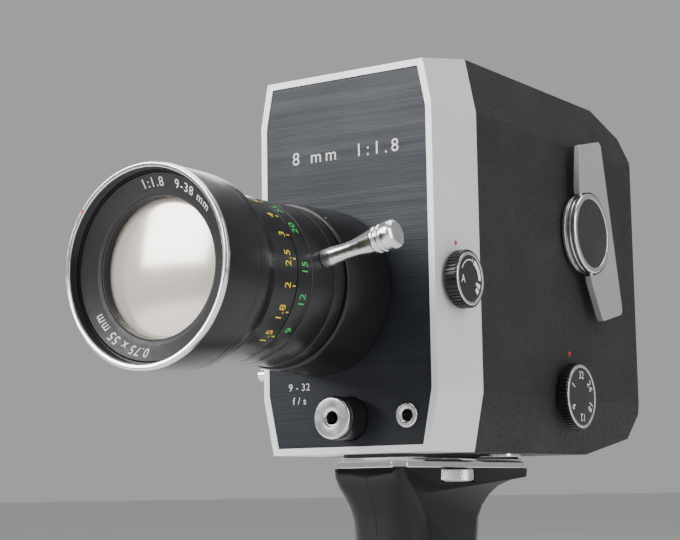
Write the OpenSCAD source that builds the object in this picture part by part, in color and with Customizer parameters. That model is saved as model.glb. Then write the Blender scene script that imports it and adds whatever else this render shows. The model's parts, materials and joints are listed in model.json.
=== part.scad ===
// Spring-driven 8 mm cine camera with a zoom lens, a folding winding key and a screw-on pistol grip.
// Frame: the lens looks along -Y and +Z is up.
// The origin is the mouth of the tripod socket in the grip's base.

/* [Body] */
// Width of the cast body
body_w = 65.2; // [60:0.2:70]
// Height of the body at the back of the front casting
body_h = 125; // [122:1:130]
// Width of the front casting at its face
front_w = 64; // [60:0.5:64.5]
// Height of the front casting at its face
front_h = 120; // [116:1:120]
// Depth of the front casting
bezel_d = 27; // [24:1:28]
// Length of the body from its face to its back
body_len = 147.5; // [145:0.5:152]
// Wall of the castings
wall = 2.2; // [1.8:0.1:2.4]

/* [Lens] */
// Distance of the lens axis from the middle of the body, towards -X
lens_off = 9.8; // [8:0.1:11]
// Height of the lens axis above the body's floor
lens_h = 50.4; // [48:0.2:54]
// Distance from the body's face to the front of the lens
lens_len = 85.7; // [84:0.1:86]
// Outer radius of the front rim
rim_r = 28.75; // [28.2:0.05:29.5]
// Radius of the filter thread's wall
filter_r = 27.1; // [26.5:0.1:27.3]
// Outer radius of the zoom ring
zoom_r = 24.5; // [24:0.1:24.8]
// Angle of the zoom lever above the horizontal
lever_angle = 12; // [0:1:25]

/* [Controls] */
// Radius of the exposure dial
exposure_r = 9; // [8:0.5:10]
// Radius of the running speed dial
speed_r = 11.5; // [10:0.5:12]
// Radius of the winding key's hub
hub_r = 14; // [13:0.2:14.6]
// Half the length of the winding key
key_half = 31; // [26:1:33]
// Lean of the winding key from the vertical
key_lean = 13; // [0:0.5:30]
// Radius of the release button
button_r = 6.7; // [6:0.1:6.9]

/* [Grip] */
// Height of the body's floor above the grip's base
grip_h = 106; // [100:1:110]
// Width of the grip
grip_w = 26.2; // [24:0.2:28]
// Radius of the clamp wheel
wheel_r = 16.4; // [15.5:0.1:16.8]
// Radius of the tripod socket's wall
socket_r = 3.175; // [3:0.005:3.4]

/* [Hidden] */
$fn = 64;
eps = 0.02;

face_y = -44;                 // y of the body's face
floor_z = grip_h;             // z of the body's floor
slope = 0.2;                  // width over height of the long corner chamfers
front_top_ch = 13.8;
front_low_ch = 17.7;
rear_top_ch = 17.8;
rear_low_ch = 18.6;
lip = 2.1;                    // width of the front casting's lip
plate_t = 1;
plate_sink = 0.3;
web_t = 2.4;
side_x = body_w / 2;

zoom_back = 22.9;             // distances forward of the body's face, along the lens axis
zoom_front = 46.9;
focus_back = 47.2;
flare_end = 66;
rim_back = 84;
thread_back = 82.4;
core_r = 16;

button_pos = [0, 10.7];     // x, z from the body's floor
frame_socket_pos = [21.1, 11];
exposure_pos = [12, 52.2];  // y, z from the face and the floor
speed_pos = [88, 19.3];
key_pos = [98.3, 76.3];
idler_pos = [68.3, 56.4];
governor_pos = [51.3, 38.07];
eye_pos = [-lens_off, 99.6];
shutter_pos = [5, governor_pos[1]];
check_pos = [7, 26.3];
battery_pos = [20, 60];
latch_pos = [43, 62];

key_face = 38.4;              // x of the key hub's face
wing_x = 37;                  // x of the wing's middle plane and of its hinge
wing_t = 2.2;
hinge_t = -3;                 // place of the wing's hinge across the key

door_y = [36.4, 136.8];
door_z = [20.7, 103.3];
hinge_x = -33.9;
hinge_y = 138.6;

module at_body() { translate([0, face_y, floor_z]) children(); }
// The lens frame: x stays, local y is up, and local z runs forward along the lens axis.
module at_lens() { at_body() translate([-lens_off, 0, lens_h]) rotate([90, 0, 0]) children(); }
// A frame on the +X side at [y, z]: local z points out of the body along +X.
module on_side(p) { at_body() translate([0, p[0], p[1]]) rotate([0, 90, 0]) children(); }

// Eight-sided outline in x and z, with long chamfers that all have the same slope.
function eight(w, z0, z1, low, top) = [
    [w - slope * top, z1], [w, z1 - top], [w, z0 + low], [w - slope * low, z0],
    [-w + slope * low, z0], [-w, z0 + low], [-w, z1 - top], [-w + slope * top, z1]
];
// The outline as a slab from y0 to y1.
module slab(points, y0, y1) {
    translate([0, y1, 0]) rotate([90, 0, 0]) linear_extrude(y1 - y0) polygon(points);
}
module flared(front, rear, y0, y1) {
    hull() {
        slab(front, y0, y0 + eps);
        slab(rear, y1 - eps, y1);
    }
}
// A round bar along x, y or z in the body frame.
module bar_x(r, x0, x1, y, z) { translate([x0, y, z]) rotate([0, 90, 0]) cylinder(r = r, h = x1 - x0); }
module bar_y(r, y0, y1, x, z) { translate([x, y1, z]) rotate([90, 0, 0]) cylinder(r = r, h = y1 - y0); }
module bar_z(r, z0, z1, x, y) { translate([x, y, z0]) cylinder(r = r, h = z1 - z0); }
module ring(r_out, r_in, h) {
    difference() {
        cylinder(r = r_out, h = h);
        translate([0, 0, -1]) cylinder(r = r_in, h = h + 2);
    }
}
// Outline with n straight ridges.
function ridged(n, r_out, r_in) = [
    for (i = [0 : n - 1]) for (k = [[0, r_in], [0.3, r_in], [0.45, r_out], [0.85, r_out]])
        let (a = 360 * (i + k[0]) / n) [k[1] * cos(a), k[1] * sin(a)]
];
// Gear outline with narrow straight-sided teeth; the first tooth is centred on angle 0.
function gear_outline(n, m) = let (root = m * (n - 2.5) / 2, tip = m * (n + 1.5) / 2) [
    for (i = [0 : n - 1]) for (k = [[-0.30, root], [-0.13, tip], [0.13, tip], [0.30, root]])
        let (a = 360 * (i + k[0]) / n) [k[1] * cos(a), k[1] * sin(a)]
];

module front_casting() {
    hw = front_w / 2;
    color("silver") at_body() difference() {
        flared(eight(hw, 0, front_h, front_low_ch, front_top_ch),
               eight(side_x, 0, body_h, rear_low_ch, rear_top_ch), 0, bezel_d);
        slab(eight(hw - lip, lip, front_h - lip, front_low_ch - 1, front_top_ch - 1),
             -1, plate_sink + plate_t);
        flared(eight(hw - wall, wall, front_h - wall, front_low_ch - 1, front_top_ch - 1),
               eight(side_x - wall, wall, body_h - wall, rear_low_ch - 1, rear_top_ch - 1),
               plate_sink + plate_t + web_t, bezel_d + 1);
        bar_y(18.1, -1, 10, -lens_off, lens_h);
        bar_y(8.2, -1, 10, button_pos[0], button_pos[1]);
        bar_y(3.1, -1, 10, frame_socket_pos[0], frame_socket_pos[1]);
        bar_x(3, 25, 40, exposure_pos[0], exposure_pos[1]);
        bar_x(2.65, -40, -25, check_pos[0], check_pos[1]);
    }
}

module front_plate() {
    g = lip + 0.1;
    color("dimgray") at_body() difference() {
        slab(eight(front_w / 2 - g, g, front_h - g, front_low_ch - 1, front_top_ch - 1),
             plate_sink, plate_sink + plate_t);
        bar_y(18.1, -1, 4, -lens_off, lens_h);
        bar_y(button_r + 0.15, -1, 4, button_pos[0], button_pos[1]);
        bar_y(3.1, -1, 4, frame_socket_pos[0], frame_socket_pos[1]);
    }
}

// The body's outline seen from the side, shrunk by g.
function side_outline(g) = [
    [bezel_d, g], [body_len - 41 - g / 4, g], [body_len - 8 - g / 2, 6 + g],
    [body_len - g, 17.5 + g / 2], [body_len - g, 106 - g / 2],
    [body_len - 3.5 - g, 111.5 - g / 2], [body_len - 8 - g / 2, 117.5 - g],
    [body_len - 28 - g / 4, body_h - g], [bezel_d, body_h - g]
];
function open_front(g) = [[bezel_d - 2, body_h - g], [bezel_d - 2, g]];
module body_solid(g) {
    w = side_x - g;
    intersection() {
        slab(eight(w, g, body_h - g, rear_low_ch - g / 2, rear_top_ch - g / 2),
             bezel_d - (g > 0 ? 1 : 0), body_len + 1);
        rotate([90, 0, 90]) linear_extrude(2 * body_w, center = true)
            polygon(g > 0 ? concat(open_front(g), side_outline(g)) : side_outline(0));
        linear_extrude(body_h) polygon([
            [-w, 0], [w, 0], [w, body_len - 2.5 - g / 2], [w - 2.6, body_len - g],
            [-w + 2.6, body_len - g], [-w, body_len - 2.5 - g / 2]
        ]);
    }
}
module body_shell() {
    color([0.12, 0.12, 0.13]) at_body() difference() {
        union() {
            difference() {
                body_solid(0);
                body_solid(wall);
            }
            for (z = [40, 78]) bar_z(2, z, z + 8, hinge_x, hinge_y);
        }
        translate([-side_x - 3, door_y[0] - 0.2, door_z[0] - 0.2])
            cube([8, door_y[1] - door_y[0] + 0.4, door_z[1] - door_z[0] + 0.4]);
        bar_z(1.05, 30, 96, hinge_x, hinge_y);
        bar_z(2.3, 49.7, 76.3, hinge_x, hinge_y);
        bar_x(4.2, 25, 40, key_pos[0], key_pos[1]);
        bar_x(3, 25, 40, speed_pos[0], speed_pos[1]);
        bar_y(6.05, 140, 160, eye_pos[0], eye_pos[1]);
        bar_z(7, -1, 5, 0, -face_y);
        bar_z(6.2, -1, 5, battery_pos[0], battery_pos[1]);
        for (x = [-22, 22]) for (z = [26, 86]) bar_y(1.5, 140, 160, x, z);
    }
}

pillar_spots = [[50, 24], [126, 24], [52, 84], [138, 44]];
module main_plate() {
    color("gainsboro") at_body() difference() {
        translate([-4, 44.1, 10.6]) cube([2, 94, 81]);
        bar_x(1.6, -10, 0, idler_pos[0], idler_pos[1]);
        bar_x(1.6, -10, 0, governor_pos[0], governor_pos[1]);
    }
}
module bridge_plate() {
    color("gainsboro") at_body() difference() {
        translate([-27.5, 42, 19]) cube([36.5, 2, 72.6]);
        bar_y(5, 40, 50, -lens_off, lens_h);
        bar_y(1.6, 40, 50, shutter_pos[0], shutter_pos[1]);
    }
}
module chamber_shelf() {
    color("gainsboro") at_body() translate([-29, 43.9, 92]) cube([26, 94, 1]);
}
module plate_pillars() {
    color("silver") at_body() for (p = pillar_spots) bar_x(3, -1.98, side_x - wall - 0.05, p[0], p[1]);
}
module film_gate() {
    color("silver") at_body() difference() {
        translate([-lens_off - 8, 39.6, lens_h - 16]) cube([14, 2.35, 32]);
        translate([-lens_off - 2.8, 38, lens_h - 2.1]) cube([5.6, 6, 4.2]);
    }
}

module film_door() {
    color([0.12, 0.12, 0.13]) at_body() difference() {
        union() {
            translate([-side_x, door_y[0], door_z[0]])
                cube([wall, door_y[1] - door_y[0], door_z[1] - door_z[0]]);
            bar_z(2, 50, 76, hinge_x, hinge_y);
            translate([-34.6, 132, 50]) cube([2.1, hinge_y - 132, 26]);
        }
        bar_z(1.05, 40, 86, hinge_x, hinge_y);
        translate([-40, 88, 55]) cube([12, 16, 11]);
        bar_x(3.1, -40, -25, latch_pos[0], latch_pos[1]);
    }
}
module door_hinge_pin() {
    color("silver") at_body() bar_z(1, 40, 86, hinge_x, hinge_y);
}
module film_window() {
    color("lightblue", 0.5) at_body() translate([-side_x + 0.4, 88.05, 55.05]) cube([1.4, 15.9, 10.9]);
}
module door_latch() {
    color("silver") at_body() translate([0, latch_pos[0], latch_pos[1]]) {
        difference() {
            translate([-side_x - 3.6, 0, 0]) rotate([0, 90, 0]) linear_extrude(3.3)
                polygon(ridged(30, 6.2, 5.8));
            translate([-side_x - 4.6, -0.8, -12]) cube([1.6, 1.6, 24]);
        }
        bar_x(3, -side_x - 0.4, -29.9, 0, 0);
        translate([-30, -9, -2]) cube([1.2, 12, 4]);
    }
}

module lens_collar() {
    color([0.1, 0.1, 0.11]) at_lens() rotate_extrude() polygon([
        [core_r + 0.05, -6], [18, -6], [18, -0.28], [19.9, -0.28], [19.9, 0.05], [26.1, 0.05],
        [25.4, 21.8], [25, 22.4], [23.3, 22.4], [23.3, 3.2], [core_r + 0.05, 3.2]
    ]);
}
module lens_core() {
    color([0.2, 0.2, 0.21]) at_lens() rotate_extrude() polygon([
        [13.5, -6], [core_r, -6], [core_r, 61.6], [13.5, 61.6]
    ]);
}
lever_z = 32.8;
module at_lever() { at_lens() translate([0, 0, lever_z]) rotate([0, 90, lever_angle]) children(); }
module zoom_ring() {
    color([0.1, 0.1, 0.11]) difference() {
        at_lens() rotate_extrude() polygon([
            [core_r + 0.06, 3.6], [22.9, 3.6], [22.9, 22.8], [zoom_r, zoom_back], [zoom_r, zoom_front],
            [core_r + 0.06, zoom_front]
        ]);
        at_lever() translate([0, 0, 20.5]) cylinder(r = 1.5, h = 10);
    }
}
// Turned lever: shank, root, waist, flare, two grooves and a coned end.
// Its distances are from the lens axis.
module zoom_lever() {
    color("silver") at_lever() rotate_extrude() polygon([
        [0, 20.5], [1.5, 20.5], [1.5, 24.6], [2.8, 24.6], [2.8, 28], [2.45, 31.5], [2.45, 34],
        [2.9, 37.5], [3.7, 42.4], [3.9, 42.9], [3.9, 43.5], [3.5, 43.8], [3.5, 44.3],
        [4.1, 44.7], [4.1, 45.3], [3.7, 45.6], [3.7, 46.1], [4.35, 46.5], [4.35, 49],
        [3.9, 49.8], [0, 50.5]
    ]);
}
module zoom_cell() { color([0.2, 0.2, 0.2]) at_lens() translate([0, 0, 30]) ring(13.4, 10.1, 8); }
module zoom_lens() { color("lightsteelblue", 0.5) at_lens() lens_disc(10.05, 32, 35, 1, 1); }
module focus_ring() {
    color([0.1, 0.1, 0.11]) at_lens() rotate_extrude() polygon([
        [core_r + 0.06, focus_back], [24.3, focus_back], [24.7, focus_back + 0.4], [24.7, 58.5],
        [25.4, 60], [28.2, flare_end], [28.6, rim_back], [filter_r, rim_back],
        [filter_r, thread_back], [26.3, thread_back], [26.3, 78], [19.9, 78],
        [19.9, 70], [17.5, 70], [17.5, 61.8], [core_r + 0.06, 61.8]
    ]);
}
module front_rim() {
    color("silver") at_lens() rotate_extrude() polygon([
        [filter_r, rim_back + eps], [28.6, rim_back + eps], [rim_r, rim_back + 0.4], [rim_r, lens_len - 0.5],
        [28.3, lens_len], [filter_r + 0.2, lens_len - 0.1], [filter_r, lens_len - 0.3]
    ]);
}
module inscription_ring() {
    color([0.08, 0.08, 0.09]) at_lens() rotate_extrude() polygon([
        [20.3, 78.05], [26.25, 78.05], [26.25, 82], [25.9, 82.1], [21.5, 79.8], [20.3, 79.6]
    ]);
}
// Disc with spherical faces: r is its radius, b and f are the heights of its back and front edge,
// and the bulges are the heights of its faces.
module lens_disc(r, b, f, bulge_b, bulge_f) {
    n = 12;
    rotate_extrude() polygon(concat(
        [for (i = [0 : n]) let (u = r * i / n) [u, b - bulge_b * (1 - u * u / (r * r))]],
        [for (i = [n : -1 : 0]) let (u = r * i / n) [u, f + bulge_f * (1 - u * u / (r * r))]]
    ));
}
module front_lens() { color("lightsteelblue", 0.5) at_lens() lens_disc(19.85, 71, 76.6, 0, 2.8); }
module rear_lens() { color("lightsteelblue", 0.5) at_lens() lens_disc(13.4, -4, -1, 1, 1); }
module iris_diaphragm() {
    color([0.2, 0.2, 0.2]) at_lens() translate([0, 0, 4]) ring(13.45, 5, 1.2);
}

// The beam-splitting cube behind the lens and the prism above it that turns the light to the eyepiece.
module finder_prisms() {
    color("lightsteelblue", 0.5) at_body() {
        translate([-lens_off - 7, 9, lens_h - 7]) cube([14, 14, 14]);
        translate([-lens_off + 6, 0, 0]) rotate([90, 0, -90]) linear_extrude(12) polygon([
            [-9, eye_pos[1] - 7], [-23, eye_pos[1] - 7], [-23, eye_pos[1] + 7]
        ]);
    }
}
module at_eye(y) { at_body() translate([eye_pos[0], y, eye_pos[1]]) rotate([-90, 0, 0]) children(); }
tube_front = 24;
module viewfinder_tube() {
    flange = body_len + eps - tube_front;
    end = body_len + 13.5 - tube_front;
    color([0.15, 0.15, 0.16]) at_eye(tube_front) rotate_extrude() polygon([
        [5, 0], [6, 0], [6, flange], [9.6, flange], [9.6, flange + 2.2], [6, flange + 2.2],
        [6, end], [5, end]
    ]);
}
module diopter_ring() {
    color([0.12, 0.12, 0.13]) at_eye(body_len + 2.6) difference() {
        linear_extrude(4.8) polygon(ridged(36, 10.6, 10.1));
        translate([0, 0, -1]) cylinder(r = 6.06, h = 8);
    }
}
module eyecup() {
    color([0.05, 0.05, 0.05]) at_eye(body_len + 7.8) rotate_extrude() polygon([
        [6.02, 0], [10, 0], [10.4, 3], [13.4, 7.2], [13, 8], [11.6, 7.6], [8.6, 5.7], [6.02, 5.7]
    ]);
}
module eyepiece_lens() {
    color("lightsteelblue", 0.5) at_eye(body_len + 8) lens_disc(4.95, 0.8, 2.8, 0.6, 0.6);
}

module at_front(p) { at_body() translate([p[0], 0, p[1]]) rotate([90, 0, 0]) children(); }
module release_button() {
    color([0.1, 0.1, 0.12]) at_front(button_pos) difference() {
        translate([0, 0, -9]) cylinder(r = button_r, h = 17);
        translate([0, 0, -2]) cylinder(r = 4.2, h = 12);
    }
}
module button_cap() {
    color("silver") at_front(button_pos) difference() {
        rotate_extrude() polygon([
            [0, -2], [4.15, -2], [4.15, 8.02], [6.45, 8.02], [6.45, 9.3], [6.1, 9.6], [2.5, 9.6], [0, 9.6]
        ]);
        translate([0, 0, -1]) cylinder(r = 2.1, h = 12);
    }
}
module frame_release_socket() {
    color("silver") at_front(frame_socket_pos) difference() {
        union() {
            translate([0, 0, -9]) cylinder(r = 3, h = 9);
            translate([0, 0, -0.28]) cylinder(r = 3.75, h = 1.0);
        }
        translate([0, 0, -7.5]) cylinder(r = 1.85, h = 12);
    }
}

module check_button() {
    color("gray") at_body() bar_x(1.95, -38.2, -27, check_pos[0], check_pos[1]);
}
// The sleeves that the release button and the check button slide in.
module button_bushes() {
    color([0.1, 0.1, 0.1]) at_body() {
        difference() {
            bar_y(8.1, 1.35, 8.5, button_pos[0], button_pos[1]);
            bar_y(button_r + 0.1, 0, 10, button_pos[0], button_pos[1]);
        }
        difference() {
            union() {
                bar_x(2.6, -33.6, -28, check_pos[0], check_pos[1]);
                bar_x(3.1, -33.6, -32.3, check_pos[0], check_pos[1]);
            }
            bar_x(2.02, -36, -26, check_pos[0], check_pos[1]);
        }
    }
}

// Side dial: a ridged knob with a spindle, a bright ring let into its face and a dark disc inside the ring.
module dial_knob(p, r, ridges, x0, x1) {
    on_side(p) difference() {
        union() {
            translate([0, 0, x0]) linear_extrude(x1 - x0) polygon(ridged(ridges, r, r - 0.4));
            translate([0, 0, 22]) cylinder(r = 2.9, h = x0 - 22 + 1);
        }
        translate([0, 0, x1 - 0.8]) cylinder(r = r - 0.75, h = 2);
    }
}
module dial_ring(p, r, x1) { on_side(p) translate([0, 0, x1 - 0.8]) ring(r - 0.75, r - 1.75, 1.1); }
module dial_face(p, r, x1) {
    color([0.15, 0.15, 0.15]) on_side(p) translate([0, 0, x1 - 0.8]) cylinder(r = r - 1.75, h = 0.9);
}
exposure_top = 37.3;
speed_top = 36.9;
module exposure_dial() { color([0.1, 0.1, 0.1]) dial_knob(exposure_pos, exposure_r, 44, 33, exposure_top); }
module exposure_dial_ring() { color("silver") dial_ring(exposure_pos, exposure_r, exposure_top); }
module exposure_dial_face() { dial_face(exposure_pos, exposure_r, exposure_top); }
module speed_dial() { color([0.1, 0.1, 0.1]) dial_knob(speed_pos, speed_r, 56, 33.6, speed_top); }
module speed_dial_ring() { color("silver") dial_ring(speed_pos, speed_r, speed_top); }
module speed_dial_face() { dial_face(speed_pos, speed_r, speed_top); }

// The winding key's own frame: local x points out, local y runs across the key and local z along it.
module at_key() { at_body() translate([0, key_pos[0], key_pos[1]]) rotate([key_lean, 0, 0]) children(); }
module key_hub() {
    color("silver") difference() {
        on_side(key_pos) rotate_extrude() polygon([
            [0, -1.5], [3, -1.5], [3, 31], [4.1, 31], [4.1, 33], [hub_r - 0.6, 33],
            [hub_r - 0.2, 33.4], [hub_r - 0.2, 34.4], [hub_r - 0.7, 34.6], [hub_r - 0.7, 35],
            [hub_r - 0.2, 35.2], [hub_r - 0.2, 36.3], [hub_r - 0.4, 36.5], [hub_r, 36.7],
            [hub_r, key_face - 0.4], [hub_r - 0.4, key_face],
            [12, key_face], [12, key_face - 0.9], [0, key_face - 0.9]
        ]);
        at_key() for (s = [-1, 1]) pin_at(s, 0.7);
    }
}
module key_disc() {
    color([0.2, 0.2, 0.2]) on_side(key_pos) translate([0, 0, key_face - 0.9]) cylinder(r = 11.98, h = 0.7);
}
module key_wing() {
    h = key_half;
    color("silver") at_key() difference() {
        translate([wing_x - wing_t / 2, 0, 0]) rotate([90, 0, 90]) linear_extrude(wing_t) polygon([
            [16.8, h - 1.5], [15.3, h], [0.4, h], [-0.8, h - 1.2], [-5.4, 16.5], [-5.4, -16.5],
            [-0.8, 1.2 - h], [0.4, -h], [15.3, -h], [16.8, 1.5 - h]
        ]);
        bar_x(hub_r + 0.35, wing_x - 3, wing_x + 3, 0, 0);
        translate([wing_x - 3, -8, -14.4]) cube([6, 8, 28.8]);
        for (s = [-1, 1]) pin_at(s, 0.75);
    }
}
module pin_at(s, r) { translate([wing_x, hinge_t, s * 14.4]) cylinder(r = r, h = 4, center = true); }
module key_hinge_pins() {
    color("gray") at_key() for (s = [-1, 1]) pin_at(s, 0.7);
}

module spring_barrel() {
    color("goldenrod") on_side(key_pos) difference() {
        union() {
            translate([0, 0, 6]) cylinder(r = 29, h = 20);
            translate([0, 0, 3]) linear_extrude(2.4) rotate(idler_angle) polygon(gear_outline(60, 1));
            translate([0, 0, 5]) cylinder(r = 12, h = 2);
        }
        translate([0, 0, 8]) cylinder(r = 27.5, h = 16.5);
        cylinder(r = 3.06, h = 40);
    }
}
// Coiled ribbon inside the barrel.
spring_turns = 7;
module mainspring() {
    n = 24 * spring_turns;
    function at(i, dr) = let (a = 360 * i / 24, r = 9 + 17 * i / n + dr) [r * cos(a), r * sin(a)];
    color("slategray") on_side(key_pos) translate([0, 0, 8.5]) linear_extrude(15.5)
        polygon(concat([for (i = [0 : n]) at(i, 0)], [for (i = [n : -1 : 0]) at(i, 0.8)]));
}
// Directions from gear to gear in the side frame. A tooth there meets a gap of the next gear.
idler_angle = atan2(idler_pos[0] - key_pos[0], key_pos[1] - idler_pos[1]);
governor_angle = atan2(governor_pos[0] - idler_pos[0], idler_pos[1] - governor_pos[1]);
// Pinion and wheel on one arbor, which ends in the chamber as the slotted take-up spindle.
module idler_gear() {
    color("gold") on_side(idler_pos) difference() {
        union() {
            translate([0, 0, 3]) linear_extrude(2.4) rotate(idler_angle + 195) polygon(gear_outline(12, 1));
            translate([0, 0, -1.6]) linear_extrude(1.8) rotate(governor_angle) polygon(gear_outline(40, 1));
            translate([0, 0, -6]) cylinder(r = 1.55, h = 20.1);
            translate([0, 0, 0.1]) cylinder(r = 3, h = 3);
        }
        translate([-0.4, -3, -7]) cube([0.8, 6, 2]);
    }
}
module governor() {
    color("goldenrod") on_side(governor_pos) {
        translate([0, 0, -3.9]) cylinder(r = 1.55, h = 20);
        translate([0, 0, -1.6]) linear_extrude(1.8) rotate(governor_angle + 198) polygon(gear_outline(10, 1));
        translate([0, 0, 0.1]) cylinder(r = 2.5, h = 0.6);
        translate([0, 0, 0.6]) cylinder(r = 6.5, h = 1);
        for (a = [0, 120, 240]) rotate(a) translate([3.5, -1.5, 10]) cube([4.5, 3, 4]);
        translate([0, 0, 9.5]) cylinder(r = 4.5, h = 6);
    }
}
shutter_r = 23.5;
// Fan of a ring between two radii, from angle a0 to a1.
function fan(r0, r1, a0, a1) = concat(
    [for (i = [0 : 16]) let (a = a0 + (a1 - a0) * i / 16) [r0 * cos(a), r0 * sin(a)]],
    [for (i = [16 : -1 : 0]) let (a = a0 + (a1 - a0) * i / 16) [r1 * cos(a), r1 * sin(a)]]
);
module shutter_disc() {
    color([0.15, 0.15, 0.15]) at_body() translate([shutter_pos[0], 0, shutter_pos[1]]) {
        translate([0, 37.8, 0]) rotate([90, 0, 0]) linear_extrude(0.8) difference() {
            circle(r = shutter_r);
            polygon(fan(13, 22.5, 60, 220));
        }
        bar_y(3, 37.7, 38.8, 0, 0);
        bar_y(1.55, 38, 49.2, 0, 0);
        bar_y(3.1, 45.4, 48.6, 0, 0);
    }
}

module battery_cap() {
    color("silver") at_body() difference() {
        union() {
            bar_z(6.15, -0.9, 2.2, battery_pos[0], battery_pos[1]);
            bar_z(6.8, -0.9, -0.05, battery_pos[0], battery_pos[1]);
        }
        translate([battery_pos[0] - 5, battery_pos[1] - 0.7, -1.4]) cube([10, 1.4, 1]);
    }
}
module battery_cells() {
    color("silver") at_body() for (i = [0 : 2]) {
        z = 2.4 + i * 5.6;
        bar_z(5.8, z, z + 5.5, battery_pos[0], battery_pos[1]);
    }
}
// Four slotted screws in the back of the body and three across the grip.
module case_screws() {
    color("silver") at_body() for (x = [-22, 22]) for (z = [26, 86]) difference() {
        union() {
            bar_y(1.5, body_len - 4, body_len + 0.1, x, z);
            bar_y(2.6, body_len + eps, body_len + 1.2, x, z);
        }
        translate([x - 3, body_len + 0.7, z - 0.35]) cube([6, 2, 0.7]);
    }
    color("silver") for (p = grip_screw_spots) difference() {
        union() {
            bar_x(1.5, -12, 8, p[0], p[1]);
            bar_x(2.9, -12.7, -11.4, p[0], p[1]);
        }
        translate([-13.2, p[0] - 3, p[1] - 0.35]) cube([1, 6, 0.7]);
    }
}

pad_t = 1.1;
deck_t = 3.3;
deck_y = [9.4, 94.6];
deck_top = floor_z - pad_t;
deck_low = deck_top - deck_t;
function deck_outline(g) = let (
    w = grip_w / 2 - g,
    c = 3.6,
    q = 5,
    a = face_y + deck_y[0] + g,
    b = face_y + deck_y[1] - g
) [
    [-w + c, a], [w - c, a], [w, a + c], [w, b - q], [w - q * 0.3, b - q * 0.3], [w - q, b],
    [-w + q, b], [-w + q * 0.3, b - q * 0.3], [-w, b - q], [-w, a + c]
];
module tripod_bush() {
    color("silver") at_body() difference() {
        union() {
            bar_z(6.95, 0, 2.5, 0, -face_y);
            bar_z(9, 2.25, 10, 0, -face_y);
        }
        bar_z(3.05, -1, 9, 0, -face_y);
    }
}
module grip_pad() {
    color([0.05, 0.05, 0.05]) difference() {
        translate([0, 0, deck_top]) linear_extrude(pad_t) polygon(deck_outline(1.5));
        bar_z(3.4, deck_top - 1, floor_z + 1, 0, 0);
    }
}
module grip_plate() {
    color("silver") difference() {
        union() {
            translate([0, 0, deck_low]) linear_extrude(deck_t - 1.1) polygon(deck_outline(0));
            translate([0, 0, deck_top - 1.1]) linear_extrude(1.1) polygon(deck_outline(0.7));
        }
        bar_z(3.4, deck_low - 1, floor_z, 0, 0);
    }
}
// Stations of the grip from top to bottom: height below the body's floor, front and back y
// from the body's face, and corner radius.
grip_stations = [
    [4.4, 9.4, 94.6, 3], [7.4, 9.4, 94.2, 3.4], [8.3, 9.5, 84, 4], [10.2, 9.9, 75.5, 5],
    [12.9, 11.4, 70.4, 6.5], [16.5, 13.3, 66.6, 8], [20.5, 14.5, 64.3, 9.5],
    [27.6, 15.3, 63.4, 10.4], [36, 15.4, 62.4, 10.8], [50, 15.2, 62, 10.8],
    [66, 14.8, 63, 10.8], [82, 15, 65.4, 10.8], [94, 15.4, 68.2, 10.8], [102, 15.2, 70.6, 10.8]
];
corner_steps = 6;
function corner(cx, cy, r, a0, z) = [
    for (i = [0 : corner_steps]) let (a = a0 + 90 * i / corner_steps)
        [cx + r * cos(a), cy + r * sin(a), z]
];
// Four corners joined into one ring of points at height z.
function round_box(x0, x1, y0, y1, r, z) = concat(
    corner(x1 - r, y1 - r, r, 0, z), corner(x0 + r, y1 - r, r, 90, z),
    corner(x0 + r, y0 + r, r, 180, z), corner(x1 - r, y0 + r, r, 270, z)
);
function grip_ring(s) =
    round_box(-grip_w / 2, grip_w / 2, face_y + s[1], face_y + s[2], s[3], floor_z - s[0]);
module grip_solid() {
    rings = len(grip_stations);
    k = 4 * (corner_steps + 1);
    points = [for (i = [rings - 1 : -1 : 0]) each grip_ring(grip_stations[i])];
    faces = concat(
        [[for (j = [0 : k - 1]) j]],
        [for (i = [0 : rings - 2]) for (j = [0 : k - 1])
            [i * k + (j + 1) % k, i * k + j, (i + 1) * k + j]],
        [for (i = [0 : rings - 2]) for (j = [0 : k - 1])
            [i * k + (j + 1) % k, (i + 1) * k + j, (i + 1) * k + (j + 1) % k]],
        [[for (j = [k - 1 : -1 : 0]) (rings - 1) * k + j]]
    );
    polyhedron(points, faces, convexity = 6);
}
module grip_half(s) {
    color([0.03, 0.03, 0.035]) difference() {
        intersection() {
            grip_solid();
            translate([s > 0 ? 0 : -30, -60, 0]) cube([30, 140, 130]);
        }
        bar_z(wheel_r + 0.5, deck_low - 4.7, deck_low + 1, 0, 0);
        bar_z(6, deck_low - 12, deck_low + 1, 0, 0);
        translate([s > 0 ? -1 : -10, -14, 22]) cube([11, 24, 56]);
        bar_z(6.1, 0, 17, 0, 0);
        for (p = grip_screw_spots) {
            bar_x(1.55, -20, 8.2, p[0], p[1]);
            bar_x(3.1, -20, -11.4, p[0], p[1]);
        }
    }
}
grip_screw_spots = [[-13, 14], [11, 14], [0, 84]];
module grip_right() { grip_half(1); }
module grip_left() { grip_half(-1); }
module clamp_wheel() {
    color("silver") union() {
        translate([0, 0, deck_low - 4.4]) linear_extrude(4.2) polygon(ridged(90, wheel_r, wheel_r - 0.35));
        bar_z(3, deck_low - 1, floor_z + 7.5, 0, 0);
        bar_z(5.5, deck_low - 10, deck_low - 4, 0, 0);
    }
}
base_t = 4;
module grip_base() {
    color([0.05, 0.05, 0.05]) difference() {
        linear_extrude(base_t)
            polygon([for (p = round_box(-14.5, 14.5, -29.4, 28.9, 8.5, 0)) [p[0], p[1]]]);
        bar_z(6.1, -1, base_t + 1, 0, 0);
    }
}
module tripod_socket() {
    color("silver") difference() {
        cylinder(r = 6.05, h = 16);
        translate([0, 0, -1]) cylinder(r = socket_r, h = 13);
    }
}

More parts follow.
